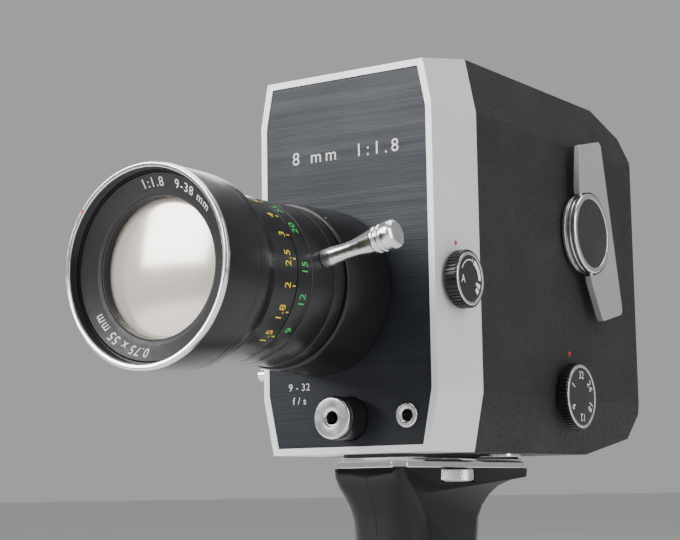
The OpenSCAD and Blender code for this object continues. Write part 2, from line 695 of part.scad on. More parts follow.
front_casting();
front_plate();
body_shell();
main_plate();
bridge_plate();
chamber_shelf();
plate_pillars();
film_gate();
film_door();
door_hinge_pin();
film_window();
door_latch();
lens_collar();
lens_core();
zoom_ring();
zoom_lever();
zoom_cell();
zoom_lens();
focus_ring();
front_rim();
inscription_ring();
front_lens();
rear_lens();
iris_diaphragm();
finder_prisms();
viewfinder_tube();
diopter_ring();
eyecup();
eyepiece_lens();
release_button();
button_cap();
frame_release_socket();
check_button();
button_bushes();
exposure_dial();
exposure_dial_ring();
exposure_dial_face();
speed_dial();
speed_dial_ring();
speed_dial_face();
key_hub();
key_disc();
key_wing();
key_hinge_pins();
spring_barrel();
mainspring();
idler_gear();
governor();
shutter_disc();
battery_cap();
battery_cells();
case_screws();
tripod_bush();
grip_pad();
grip_plate();
grip_left();
grip_right();
clamp_wheel();
grip_base();
tripod_socket();
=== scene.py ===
import json
import math

import bmesh
import bpy
from mathutils import Matrix, Vector


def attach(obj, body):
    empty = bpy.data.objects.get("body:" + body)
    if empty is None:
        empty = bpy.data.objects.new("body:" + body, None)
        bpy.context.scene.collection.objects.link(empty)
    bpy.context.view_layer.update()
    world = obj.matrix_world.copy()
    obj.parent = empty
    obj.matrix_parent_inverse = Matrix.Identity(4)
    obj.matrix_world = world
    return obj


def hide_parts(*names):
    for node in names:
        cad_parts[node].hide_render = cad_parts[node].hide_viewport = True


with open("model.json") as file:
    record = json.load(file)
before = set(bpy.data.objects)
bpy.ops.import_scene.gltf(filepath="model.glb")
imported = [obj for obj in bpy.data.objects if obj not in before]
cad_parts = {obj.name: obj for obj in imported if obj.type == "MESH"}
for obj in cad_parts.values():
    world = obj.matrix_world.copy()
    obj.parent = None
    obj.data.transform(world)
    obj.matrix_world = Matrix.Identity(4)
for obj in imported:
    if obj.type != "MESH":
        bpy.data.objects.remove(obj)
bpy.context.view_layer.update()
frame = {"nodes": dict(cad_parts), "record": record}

MM = 0.001
NODES = frame["nodes"]
RECORD = frame["record"]
BODY_OF = {n: b for b, names in RECORD["behaviour"]["bodies"].items() for n in names}
SLOT_OF = {s["node"]: s["material_slot"] for s in RECORD["subparts"]}

FACE_Y = -0.044            # the body's face
FLOOR_Z = 0.106            # the body's floor
SIDE_X = 0.0326            # the body's +X side
LENS = Vector((-0.0098, FACE_Y, FLOOR_Z + 0.0504))
FORWARD = Vector((0, -1, 0))
OUT_X = Vector((1, 0, 0))
UP = Vector((0, 0, 1))
KEY = Vector((0, FACE_Y + 0.0983, FLOOR_Z + 0.0763))
EXPOSURE = Vector((0, FACE_Y + 0.012, FLOOR_Z + 0.0522))
SPEED = Vector((0, FACE_Y + 0.088, FLOOR_Z + 0.0193))
BUTTON = Vector((0, FACE_Y, FLOOR_Z + 0.0107))
CABLE = Vector((0.0211, FACE_Y, FLOOR_Z + 0.011))


# ---------------------------------------------------------------- materials
def rgba(colour):
    """A colour with alpha 1, from a tuple or from one grey value."""
    return (*colour, 1) if isinstance(colour, tuple) else (colour, colour, colour, 1)


class Nodes:
    """A material's node tree with short ways to add and join nodes."""

    def __init__(self, name):
        self.mat = bpy.data.materials.new(name)
        self.mat.use_nodes = True
        self.tree = self.mat.node_tree
        self.shader = self.tree.nodes["Principled BSDF"]
        self.coords = self.tree.nodes.new("ShaderNodeTexCoord").outputs["Object"]

    def add(self, kind, **values):
        node = self.tree.nodes.new("ShaderNode" + kind)
        for key, value in values.items():
            if key in node.inputs:
                node.inputs[key].default_value = value
            else:
                setattr(node, key, value)
        return node

    def link(self, a, b):
        self.tree.links.new(a, b)

    def stretched(self, scale):
        mapping = self.add("Mapping")
        mapping.inputs["Scale"].default_value = scale
        self.link(self.coords, mapping.inputs["Vector"])
        return mapping.outputs["Vector"]

    def noise(self, scale, detail=4.0, stretch=None, rough=0.55):
        tex = self.add("TexNoise", Scale=scale, Detail=detail, Roughness=rough)
        self.link(self.stretched(stretch) if stretch else self.coords, tex.inputs["Vector"])
        return tex.outputs["Fac"]

    def ramp(self, source, low, high, dark, light):
        ramp = self.add("ValToRGB")
        ramp.color_ramp.elements[0].position = low
        ramp.color_ramp.elements[1].position = high
        ramp.color_ramp.elements[0].color = rgba(dark)
        ramp.color_ramp.elements[1].color = rgba(light)
        self.link(source, ramp.inputs["Fac"])
        return ramp.outputs["Color"]

    def bump(self, height, strength, distance, under=None):
        bump = self.add("Bump", Strength=strength, Distance=distance)
        self.link(height, bump.inputs["Height"])
        if under:
            self.link(under, bump.inputs["Normal"])
        return bump.outputs["Normal"]


def finish_mat(name, base, rough, metal, worn=None, grain=0.0, grain_scale=900, spread=0.08,
               brushed=None, coat=0.0, aniso=0.0, specular=0.5, fine_scale=420.0):
    """A finish with mottled colour and roughness, and dust or wear in a coarse pattern."""
    n = Nodes(name)
    sh = n.shader
    coarse = n.noise(45.0, 6.0)
    worn = worn or tuple(min(1.0, c * 1.35 + 0.006) for c in base)
    n.link(n.ramp(coarse, 0.42, 0.72, base, worn), sh.inputs["Base Color"])
    fine = n.noise(fine_scale, 3.0, brushed)
    smoothest, roughest = max(0.02, rough - spread), min(1.0, rough + spread)
    n.link(n.ramp(fine, 0.3, 0.72, smoothest, roughest), sh.inputs["Roughness"])
    sh.inputs["Metallic"].default_value = metal
    sh.inputs["Specular IOR Level"].default_value = specular
    sh.inputs["Coat Weight"].default_value = coat
    sh.inputs["Coat Roughness"].default_value = 0.12
    sh.inputs["Anisotropic"].default_value = aniso
    if grain:
        n.link(n.bump(n.noise(grain_scale, 3.0, brushed), grain, 0.0002), sh.inputs["Normal"])
    return n.mat


def leather_grain(name):
    """Black crackle: small rounded cells with fine noise over them."""
    n = Nodes(name)
    sh = n.shader
    cells = n.add("TexVoronoi", Scale=760.0, feature="F1", Randomness=1.0)
    warp = n.add("TexNoise", Scale=300.0, Detail=3.0)
    mix = n.add("MixRGB", Fac=0.0025)
    mix.blend_type = "ADD"
    n.link(n.coords, mix.inputs["Color1"])
    n.link(warp.outputs["Color"], mix.inputs["Color2"])
    n.link(mix.outputs["Color"], cells.inputs["Vector"])
    height = cells.outputs["Distance"]
    mottle = n.ramp(n.noise(60.0, 5.0), 0.4, 0.75, (0.0085, 0.0085, 0.0095), (0.017, 0.017, 0.0185))
    n.link(mottle, sh.inputs["Base Color"])
    n.link(n.ramp(height, 0.1, 0.8, 0.42, 0.66), sh.inputs["Roughness"])
    first = n.bump(height, 0.75, 0.00035)
    n.link(n.bump(n.noise(2600.0, 2.0), 0.25, 0.0001, first), sh.inputs["Normal"])
    sh.inputs["Specular IOR Level"].default_value = 0.42
    return n.mat


def glass_mat(name, tint, rough=0.03, metal=0.0, transmission=0.9):
    n = Nodes(name)
    sh = n.shader
    paler = tuple(min(1.0, c * 1.05) for c in tint)
    n.link(n.ramp(n.noise(30.0, 3.0), 0.3, 0.8, tint, paler), sh.inputs["Base Color"])
    n.link(n.ramp(n.noise(140.0, 4.0), 0.45, 0.8, rough, rough + 0.03), sh.inputs["Roughness"])
    sh.inputs["Metallic"].default_value = metal
    sh.inputs["Transmission Weight"].default_value = transmission
    sh.inputs["IOR"].default_value = 1.6
    sh.inputs["Coat Weight"].default_value = 0.6
    sh.inputs["Coat Roughness"].default_value = 0.02
    return n.mat


def paint_mat(name, colour):
    return finish_mat(name, colour, 0.5, 0.0, worn=tuple(c * 0.86 for c in colour), spread=0.06)


M = {
    "casting": finish_mat("casting_satin", (0.74, 0.75, 0.76), 0.42, 0.25, worn=(0.78, 0.785, 0.79),
                          grain=0.12, grain_scale=1500, spread=0.05, coat=0.15),
    "plate": finish_mat("plate_brushed", (0.014, 0.016, 0.021), 0.40, 0.3, worn=(0.020, 0.023, 0.029),
                        grain=0.22, grain_scale=2400, brushed=(0.03, 1.0, 1.0), spread=0.07,
                        aniso=0.4, specular=0.35),
    "grain": leather_grain("body_grain"),
    "door_grain": leather_grain("door_grain"),
    "black_metal": finish_mat("black_anodised", (0.010, 0.010, 0.011), 0.30, 0.0,
                              worn=(0.0125, 0.0125, 0.0135), grain=0.05, grain_scale=2400,
                              spread=0.025, fine_scale=1500, specular=0.38),
    "black_inside": finish_mat("black_inside", (0.008, 0.008, 0.009), 0.5, 0.0, grain=0.1),
    "chrome": finish_mat("chrome", (0.80, 0.81, 0.83), 0.09, 1.0, worn=(0.86, 0.86, 0.87), spread=0.04),
    "bright": finish_mat("turned_aluminium", (0.74, 0.75, 0.76), 0.22, 1.0, worn=(0.80, 0.80, 0.81),
                         grain=0.06, spread=0.07, aniso=0.4),
    "steel": finish_mat("satin_steel", (0.62, 0.63, 0.645), 0.36, 0.8, worn=(0.68, 0.68, 0.69),
                        grain=0.10, grain_scale=1400, spread=0.07),
    "brass": finish_mat("brass", (0.66, 0.47, 0.20), 0.3, 1.0, worn=(0.55, 0.38, 0.16), spread=0.08),
    "glass": glass_mat("clear_glass", (0.9, 0.94, 0.92)),
    # Front glass: opaque, with a pale warm cream base colour that is a painted reflection of a bright
    # surround, warmed by the coating's tint
    "front_glass_painted_reflection": glass_mat("coated_glass_painted_reflection", (0.87, 0.79, 0.69), 0.16, 0.5, 0.0),
    "grip_black": finish_mat("gloss_black", (0.003, 0.003, 0.0035), 0.08, 0.0,
                             worn=(0.0045, 0.0045, 0.0045), spread=0.03, specular=0.32),
    "rubber": finish_mat("rubber", (0.018, 0.018, 0.018), 0.72, 0.0, grain=0.2, spread=0.08),
    "black_plastic": finish_mat("black_plastic", (0.016, 0.016, 0.017), 0.45, 0.0, grain=0.12, spread=0.08),
    "insert": finish_mat("key_insert", (0.020, 0.018, 0.017), 0.5, 0.0, worn=(0.032, 0.029, 0.027),
                         grain=0.45, grain_scale=1300, spread=0.1),
    "white": paint_mat("white_paint", (0.84, 0.84, 0.82)),
    "yellow": paint_mat("yellow_paint", (0.85, 0.62, 0.02)),
    "green": paint_mat("green_paint", (0.03, 0.58, 0.12)),
    "red": paint_mat("red_paint", (0.62, 0.03, 0.02)),
}


# ---------------------------------------------------------------- geometry
def give(obj, body, slot, mat=None, node=None):
    """Puts a piece on its body, gives it the finish named by mat or else by its slot, and hides the CAD node
    it stands for.
    """
    obj.data.materials.clear()
    obj.data.materials.append(M[mat or slot])
    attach(obj, body)
    if node:
        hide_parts(node)
    return obj


def from_bmesh(name, bm, smooth=32):
    mesh = bpy.data.meshes.new(name)
    bm.normal_update()
    bm.to_mesh(mesh)
    bm.free()
    mesh.shade_smooth()
    mesh.set_sharp_from_angle(angle=math.radians(smooth))
    obj = bpy.data.objects.new(name, mesh)
    bpy.context.scene.collection.objects.link(obj)
    return obj


def bevel(obj, width, segments=3, angle=28):
    mod = obj.modifiers.new("bevel", "BEVEL")
    mod.width = width * MM
    mod.segments = segments
    mod.limit_method = "ANGLE"
    mod.angle_limit = math.radians(angle)
    mod.harden_normals = False
    mod.use_clamp_overlap = True
    return obj


def dress(node, width=0.15, mat=None, smooth=32, segments=3):
    """Stands for a CAD node with the same solid, its flats merged and its edges rounded."""
    src = NODES[node]
    bm = bmesh.new()
    bm.from_mesh(src.data)
    bm.transform(src.matrix_world)
    bmesh.ops.remove_doubles(bm, verts=bm.verts, dist=2e-6)
    bmesh.ops.dissolve_limit(bm, angle_limit=math.radians(0.6), verts=bm.verts, edges=bm.edges)
    obj = from_bmesh(node + "_skin", bm, smooth)
    if width:
        bevel(obj, width, segments, smooth)
    slot = SLOT_OF[node]
    return give(obj, BODY_OF[node], slot, mat, node)


def lathe(name, points, origin, axis, body, slot, mat=None, node=None, steps=160, smooth=30, closed=True):
    """Turned piece: points are (radius, distance along the axis) in mm."""
    u = axis.orthogonal().normalized()
    v = axis.cross(u)
    bm = bmesh.new()
    rows = []
    for r, d in points:
        if r < 1e-6:
            rows.append([bm.verts.new(origin + axis * (d * MM))])
            continue
        rows.append([bm.verts.new(origin + axis * (d * MM) + (u * math.cos(t) + v * math.sin(t)) * (r * MM))
                     for t in (2 * math.pi * i / steps for i in range(steps))])
    pairs = list(zip(rows, rows[1:])) + ([(rows[-1], rows[0])] if closed else [])
    for a, b in pairs:
        if len(a) == 1 and len(b) == 1:
            continue
        for i in range(steps):
            j = (i + 1) % steps
            if len(a) == 1:
                bm.faces.new((a[0], b[j], b[i]))
            elif len(b) == 1:
                bm.faces.new((a[i], a[j], b[0]))
            else:
                bm.faces.new((a[i], a[j], b[j], b[i]))
    bmesh.ops.recalc_face_normals(bm, faces=bm.faces)
    obj = from_bmesh(name, bm, smooth)
    return give(obj, body, slot, mat, node)


def rounded(points, radius=0.25, n=3):
    """The closed outline with each corner turned into a small arc."""
    out = []
    k = len(points)
    for i, p in enumerate(points):
        p = Vector((*p, 0))
        a = Vector((*points[i - 1], 0)) - p
        b = Vector((*points[(i + 1) % k], 0)) - p
        r = min(radius, a.length * 0.4, b.length * 0.4)
        if p.x < 1e-6 or r < 0.01:
            out.append((p.x, p.y))
            continue
        s, e = p + a.normalized() * r, p + b.normalized() * r
        for j in range(n + 1):
            t = j / n
            q = s * (1 - t) ** 2 + p * (2 * t * (1 - t)) + e * t * t
            out.append((q.x, q.y))
    return out


def text_mesh(words, size, spacing=1.08):
    """(vertices, faces) of flat lettering, centred on its own box, in metres, with x along the line."""
    curve = bpy.data.curves.new("words", "FONT")
    curve.body = words
    curve.size = size * 1.45 * MM
    curve.resolution_u = 5
    curve.space_character = spacing
    obj = bpy.data.objects.new("words", curve)
    bpy.context.scene.collection.objects.link(obj)
    bpy.context.view_layer.update()
    mesh = bpy.data.meshes.new_from_object(obj)
    bm = bmesh.new()
    bm.from_mesh(mesh)
    bmesh.ops.triangulate(bm, faces=bm.faces)
    bmesh.ops.subdivide_edges(bm, edges=[e for e in bm.edges if e.calc_length() > 0.9 * MM], cuts=2)
    bm.verts.index_update()
    pts = [v.co.copy() for v in bm.verts]
    faces = [[v.index for v in f.verts] for f in bm.faces]
    bm.free()
    bpy.data.objects.remove(obj)
    bpy.data.meshes.remove(mesh)
    bpy.data.curves.remove(curve)
    xs = [p.x for p in pts]
    ys = [p.y for p in pts]
    mid = Vector(((min(xs) + max(xs)) / 2, (min(ys) + max(ys)) / 2, 0))
    return [p - mid for p in pts], faces


def printed(name, items, body, slot, mat, lift=0.04):
    """One mesh of printed marks, from (vertices, faces, place); place maps a flat point to the surface."""
    bm = bmesh.new()
    for pts, faces, place in items:
        vs = [bm.verts.new(place(p, lift * MM)) for p in pts]
        for f in faces:
            try:
                bm.faces.new([vs[i] for i in f])
            except ValueError:
                pass
    obj = from_bmesh(name, bm)
    return give(obj, body, slot, mat)


def bar(x0, y0, x1, y1, n=1):
    """A flat rectangle in mm as vertices and faces, cut into n along x."""
    pts = []
    for i in range(n + 1):
        x = x0 + (x1 - x0) * i / n
        pts += [Vector((x * MM, y0 * MM, 0)), Vector((x * MM, y1 * MM, 0))]
    return pts, [[2 * i, 2 * i + 2, 2 * i + 3, 2 * i + 1] for i in range(n)]


def fan(r0, r1, a0, a1, n=24):
    """A flat piece of a ring in mm; angles in degrees clockwise from the top."""
    pts = []
    for i in range(n + 1):
        a = math.radians(a0 + (a1 - a0) * i / n)
        for r in (r0, r1):
            pts.append(Vector((r * math.sin(a) * MM, r * math.cos(a) * MM, 0)))
    return pts, [[2 * i, 2 * i + 2, 2 * i + 3, 2 * i + 1] for i in range(n)]


def on_plane(origin, right, up, at=(0, 0), turn=0.0):
    """Places flat marks on a plane, about the point at (mm), turned clockwise by turn degrees."""
    normal = right.cross(up)
    c, s = math.cos(math.radians(turn)), math.sin(math.radians(turn))

    def place(p, lift):
        x = p.x * c + p.y * s + at[0] * MM
        y = -p.x * s + p.y * c + at[1] * MM
        return origin + right * x + up * y + normal * (lift + p.z)
    return place


def on_barrel(radius, dist, angle):
    """Places marks on the lens barrel with their tops forward; angle 0 is +X and 90 is up."""
    def place(p, lift):
        r = radius * MM + lift + p.z
        a = math.radians(angle) + p.x / (radius * MM)
        return LENS + FORWARD * (dist * MM + p.y) + OUT_X * (r * math.cos(a)) + UP * (r * math.sin(a))
    return place


def on_front_cone(radius, phi, r0, d0, slope):
    """Places marks on the cone inside the rim, tops outwards; phi is clockwise from the top."""
    def place(p, lift):
        r = radius * MM + p.y
        a = math.radians(phi) + p.x / (radius * MM)
        d = (d0 + (r / MM - r0) * slope) * MM + lift
        return LENS + FORWARD * d + OUT_X * (r * math.sin(a)) + UP * (r * math.cos(a))
    return place


# ---------------------------------------------------------------- body
dress("front_casting", 0.7, smooth=12, segments=4)
dress("front_plate", 0.12)
dress("body_shell", 1.1, smooth=10, segments=4)
dress("film_door", 0.5)
dress("grip_plate", 0.3)
for name in ("grip_left", "grip_right"):
    dress(name, 0.35, smooth=38)

# ---------------------------------------------------------------- lens
def lens(name, points, node, slot="black_metal", mat=None, round_by=0.25):
    """Turned piece on the lens axis that stands for a CAD node."""
    return lathe(name, rounded(points, round_by), LENS, FORWARD, BODY_OF[node], slot, mat, node, 200)


# Sizes that several lens pieces share, in mm. Distances are forward of the body's face.
FIXED_BORE, RUNNING_BORE = 16.05, 16.06
ZOOM_R, FOCUS_R, BELL_R = 24.5, 24.7, 28.6
FILTER_R, RIM_R = 27.1, 28.75
ZOOM_BACK, ZOOM_FRONT, FOCUS_BACK = 22.9, 46.9, 47.2
SEAT_BACK, SEAT_R, THREAD_BACK, RIM_BACK, RIM_FRONT = 78, 26.3, 82.4, 84, 85.7
CONE_R, CONE_DIST = 21.5, 79.8
GLASS_R, GLASS_FRONT = 19.85, 76.6

# Profiles of the turned lens pieces: (radius, distance) in mm.
COLLAR = [
    (FIXED_BORE, -6), (18, -6), (18, -0.28), (19.9, -0.28), (19.9, 0.05), (26.1, 0.05), (25.45, 21.4),
    (25.2, 22.35), (23.35, 22.4), (23.3, 3.2), (FIXED_BORE, 3.2),
]
ZOOM_RING = [
    (RUNNING_BORE, 3.6), (22.9, 3.6), (22.9, 22.8), (ZOOM_R, ZOOM_BACK), (ZOOM_R, 27.6), (24.2, 27.8),
    (24.2, 28.1), (ZOOM_R, 28.3), (ZOOM_R, 39.6), (24.3, 39.8), (24.3, 40.0), (ZOOM_R, 40.2),
    (ZOOM_R, ZOOM_FRONT), (RUNNING_BORE, ZOOM_FRONT),
]
FOCUS_RING = [
    (RUNNING_BORE, FOCUS_BACK), (24.3, FOCUS_BACK), (FOCUS_R, 47.6), (FOCUS_R, 58.2), (24.85, 58.9),
    (25.4, 60), (26.3, 61.6), (27.3, 63.6), (28.0, 65.6), (28.3, 67.4), (28.45, 70), (28.4, 70.3),
    (28.4, 70.7), (28.5, 71), (BELL_R, RIM_BACK), (FILTER_R, RIM_BACK), (FILTER_R, THREAD_BACK),
    (SEAT_R, THREAD_BACK), (SEAT_R, SEAT_BACK), (19.9, SEAT_BACK), (19.9, 70), (17.5, 70), (17.5, 61.8),
    (RUNNING_BORE, 61.8),
]
FRONT_RIM = [
    (FILTER_R, 84.02), (BELL_R, 84.02), (RIM_R, 84.4), (RIM_R, 85.2), (28.3, RIM_FRONT), (27.3, 85.6),
    (FILTER_R, 85.4),
]
DATA_RING = [(20.3, 78.05), (26.25, 78.05), (26.25, 82), (25.9, 82.1), (CONE_R, CONE_DIST), (20.3, 79.5)]
RETAINER = [(20.28, 76.3), (20.28, 79.3), (19.9, 79.3), (19.6, 77.2), (19.6, 76.9)]
# The lever's profile: (radius, distance from the lens axis) in mm.
LEVER = [
    (0, 20.5), (1.5, 20.5), (1.5, 24.6), (2.8, 24.6), (2.8, 27.6), (2.55, 30), (2.42, 32.5), (2.5, 35),
    (2.8, 37.5), (3.25, 40), (3.7, 42.4), (3.95, 42.8), (3.95, 43.5), (3.5, 43.8), (3.5, 44.3),
    (4.1, 44.7), (4.1, 45.3), (3.7, 45.6), (3.7, 46.1), (4.35, 46.5), (4.35, 48.6), (4.1, 49.5),
    (3.2, 50.1), (0, 50.5),
]
LEVER_ANGLE = math.radians(12)
LEVER_DIST = 32.8
THREAD_TURNS, THREAD_START, THREAD_PITCH = 7, 82.5, 0.42

lens("lens_collar_turned", COLLAR, "lens_collar")
lens("zoom_ring_turned", ZOOM_RING, "zoom_ring")
lens("focus_ring_turned", FOCUS_RING, "focus_ring")
lens("front_rim_turned", FRONT_RIM, "front_rim", "chrome", round_by=0.15)
thread = []
for i in range(THREAD_TURNS):
    start = THREAD_START + THREAD_PITCH * i
    thread += [(27.08, start), (26.85, start + THREAD_PITCH / 2)]
lathe("filter_thread_ridges", thread + [(27.09, 85.3)], LENS, FORWARD, "focus", "black_metal", None, None,
      200, 20, closed=False)
lens("inscription_ring_turned", DATA_RING, "inscription_ring", mat="black_inside", round_by=0.12)


def dome(r, back, front, bulge_b, bulge_f, n=14):
    """Profile of a lens element whose two faces bulge by bulge_b and bulge_f in the middle."""
    rear = [(r * i / n, back - bulge_b * (1 - (i / n) ** 2)) for i in range(n + 1)]
    face = [(r * i / n, front + bulge_f * (1 - (i / n) ** 2)) for i in range(n, -1, -1)]
    return rear + face


# The front lens element is opaque and pale cream: its colour is painted reflection
lathe("front_lens_glass", dome(GLASS_R, 71, GLASS_FRONT, 0, 2.8), LENS, FORWARD, "focus", "glass",
      "front_glass_painted_reflection", "front_lens", 160, 40)
lathe("front_lens_retainer", rounded(RETAINER, 0.1), LENS, FORWARD, "focus", "black_metal", "black_inside",
      None, 160)
lever_dir = OUT_X * math.cos(LEVER_ANGLE) + UP * math.sin(LEVER_ANGLE)
lathe("zoom_lever_turned", rounded(LEVER, 0.15), LENS + FORWARD * LEVER_DIST * MM, lever_dir, "zoom",
      "bright", None, "zoom_lever", 96)

# Figures round the lens: (words, angle round the barrel).
DISTANCES = (("10", 76), ("6", 58), ("4", 41), ("3", 25), ("2.5", 8), ("2", -10), ("1.8", -28), ("1.5", -47))
FOCAL_LENGTHS = (("38", 84), ("30", 67), ("25", 52), ("20", 33), ("15", 4), ("12", -18), ("9", -41))
APERTURES = (-40, -28, -14, 0, 14, 28, 40)
FIGURE = 2.7                    # height of the barrel's figures in mm
DISTANCE_ROW, DISTANCE_TICK_ROW, FOCAL_ROW, APERTURE_ROW = 51.9, 48.9, 43.6, 20.2
yellow, green = [], []
for words, angle in DISTANCES:
    yellow.append((*text_mesh(words, FIGURE), on_barrel(FOCUS_R, DISTANCE_ROW, angle)))
    yellow.append((*bar(-0.18, -0.7, 0.18, 0.7), on_barrel(FOCUS_R, DISTANCE_TICK_ROW, angle)))
for words, angle in FOCAL_LENGTHS:
    green.append((*text_mesh(words, FIGURE), on_barrel(ZOOM_R, FOCAL_ROW, angle)))
printed("distance_figures", yellow, "focus", "black_metal", "yellow")
printed("focal_figures", green, "zoom", "black_metal", "green")
ticks = [(*bar(-0.14, -0.8, 0.14, 0.8), on_barrel(25.3, APERTURE_ROW, 90 + a)) for a in APERTURES]
printed("aperture_ticks", ticks, "camera", "black_metal", "white", 0.18)
DATA = ((22, "1:1.8   9-38 mm"), (212, "0.75 x 55 mm"))
DATA_SIZE, DATA_SPACING, DATA_R, DATA_SLOPE = 2.45, 1.15, 23.7, 2.3 / 4.4
ring = []
for phi, words in DATA:
    place = on_front_cone(DATA_R, phi, CONE_R, CONE_DIST, DATA_SLOPE)
    ring.append((*text_mesh(words, DATA_SIZE, DATA_SPACING), place))
printed("lens_data_figures", ring, "focus", "black_metal", "white", 0.09)
RIM_DOT_R = 27.9
rim_dot = (*fan(0, 0.6, 0, 360, 20), on_front_cone(RIM_DOT_R, -52, RIM_DOT_R, RIM_FRONT, 0))
index_dot = (*fan(0, 0.8, 0, 360, 20), on_barrel(25.5, 17.0, 90))
printed("rim_dot", [rim_dot], "focus", "chrome", "red", 0.08)
printed("lens_index_dot", [index_dot], "camera", "black_metal", "red", 0.35)

# ---------------------------------------------------------------- front plate
PLATE_SINK = 0.3
PLATE = Vector((0, FACE_Y + PLATE_SINK * MM, FLOOR_Z))
SPEED_NOTE_X = -18.5
marks = [(*text_mesh("8 mm  1:1.8", 4.0, 1.42), on_plane(PLATE, OUT_X, UP, (0, 94.2))),
         (*text_mesh("9 - 32", 2.2), on_plane(PLATE, OUT_X, UP, (SPEED_NOTE_X, 21.2))),
         (*text_mesh("f / s", 2.2), on_plane(PLATE, OUT_X, UP, (SPEED_NOTE_X, 16.9)))]
printed("plate_figures", marks, "camera", "plate", "white")
# Profiles of the button and the socket: (radius, distance forward of the body's face) in mm.
SLEEVE = [(4.2, -9), (6.7, -9), (6.7, 7.7), (6.5, 8), (4.2, 8)]
CAP = [
    (2.1, -2), (4.15, -2), (4.15, 8.02), (6.45, 8.02), (6.45, 9.25), (6.05, 9.6), (3.0, 9.6), (2.6, 9.3),
    (2.1, 9.2),
]
SOCKET = [
    (1.85, -7.5), (3.0, -7.5), (3.0, -0.28), (3.75, -0.28), (3.75, 0.45), (3.45, 0.72), (2.5, 0.72),
    (1.85, 0.1),
]
lathe("release_button_sleeve", rounded(SLEEVE, 0.12), BUTTON, FORWARD, "release", "black_metal", None,
      "release_button", 96)
lathe("release_button_cap", rounded(CAP, 0.12), BUTTON, FORWARD, "release", "bright", None, "button_cap", 96)
lathe("button_hole_shade", [(0, -1.9), (2.09, -1.9), (2.09, -1.5), (0, -1.5)], BUTTON, FORWARD, "release",
      "bright", "black_inside", None, 48)
lathe("cable_socket", rounded(SOCKET, 0.1), CABLE, FORWARD, "camera", "bright", None,
      "frame_release_socket", 72)
lathe("cable_socket_shade", [(0, -7.4), (1.84, -7.4), (1.84, -7), (0, -7)], CABLE, FORWARD, "camera",
      "bright", "black_inside", None, 48)

# ---------------------------------------------------------------- winding key
# Profiles of the hub and its disc: (radius, distance from the middle of the body) in mm.
HUB_R, BAND_R, DISC_SEAT, HUB_TOP = 14, 13.8, 37.5, 38.4
HUB = [
    (0, -1.5), (3, -1.5), (3, 31), (4.1, 31), (4.1, 33), (13.4, 33), (BAND_R, 33.4), (BAND_R, 34.4),
    (13.3, 34.6), (13.3, 35), (BAND_R, 35.2), (BAND_R, 36.3), (13.6, 36.5), (HUB_R, 36.7), (HUB_R, 38),
    (13.6, HUB_TOP), (12.2, HUB_TOP), (12, 38.2), (12, DISC_SEAT), (0, DISC_SEAT),
]
HUB_DISC = [(0, DISC_SEAT), (11.98, DISC_SEAT), (11.98, 38.05), (11.7, 38.2), (0, 38.2)]
lathe("key_hub_turned", rounded(HUB, 0.12), KEY, OUT_X, "winding_hub", "bright", None, "key_hub", 160)
lathe("key_insert_disc", rounded(HUB_DISC, 0.1), KEY, OUT_X, "winding_hub", "insert", None, "key_disc", 128)
dress("key_wing", 0.35)


# ---------------------------------------------------------------- dials
ACROSS = Vector((0, 1, 0))
RIM = 0.75                      # width of a dial's ridged rim in mm
RIDGE = 0.45                    # depth of its ridges
RIDGE_STEPS = ((0.0, RIDGE), (0.28, RIDGE), (0.45, 0.0), (0.83, 0.0))
FACE_LIFT = 0.1                 # height of its face above the rim in mm


def dial(prefix, centre, radius, top, low, chamfer, ridges, body):
    """Ridged knob, bright ring and face, in place of three CAD nodes. Levels are along +X in mm."""
    def at(x, r, a):
        return centre + OUT_X * (x * MM) + UP * (r * MM * math.cos(a)) + ACROSS * (r * MM * math.sin(a))

    bm = bmesh.new()
    rows = []
    for x, cut in ((low, 0.55), (low + chamfer, 0.0), (top - 0.35, 0.0), (top, 0.35)):
        row = []
        for i in range(ridges):
            for k, depth in RIDGE_STEPS:
                a = 2 * math.pi * (i + k) / ridges
                row.append(bm.verts.new(at(x, radius - max(depth, cut), a)))
        rows.append(row)
    n = len(rows[0])
    rows.append([bm.verts.new(at(top, radius - RIM, 2 * math.pi * i / n)) for i in range(n)])
    for a, b in zip(rows, rows[1:]):
        for i in range(n):
            bm.faces.new((a[i], a[(i + 1) % n], b[(i + 1) % n], b[i]))
    bm.faces.new(rows[0])
    bmesh.ops.recalc_face_normals(bm, faces=bm.faces)
    knob = from_bmesh(prefix + "_knurled", bm, 25)
    give(knob, body, "black_metal", None, prefix)
    seat = top - 0.8
    ring_out, ring_in, face_out = radius - 0.76, radius - 1.75, radius - 1.78
    ring_points = [(ring_in, seat), (ring_out, seat), (ring_out, top + 0.15), (radius - 1.0, top + 0.3),
                   (radius - 1.6, top + 0.3), (ring_in, top + 0.2)]
    face_points = [(0, seat), (face_out, seat), (face_out, top + FACE_LIFT), (0, top + FACE_LIFT)]
    lathe(prefix + "_bright_ring", rounded(ring_points, 0.08), centre, OUT_X, body, "bright", None,
          prefix + "_ring", 128)
    lathe(prefix + "_dark_face", rounded(face_points, 0.05), centre, OUT_X, body, "black_metal",
          "black_plastic", prefix + "_face", 96)
    lathe(prefix + "_spindle", [(0, 22), (2.9, 22), (2.9, top - 3), (0, top - 3)], centre, OUT_X, body,
          "black_metal", None, None, 48)


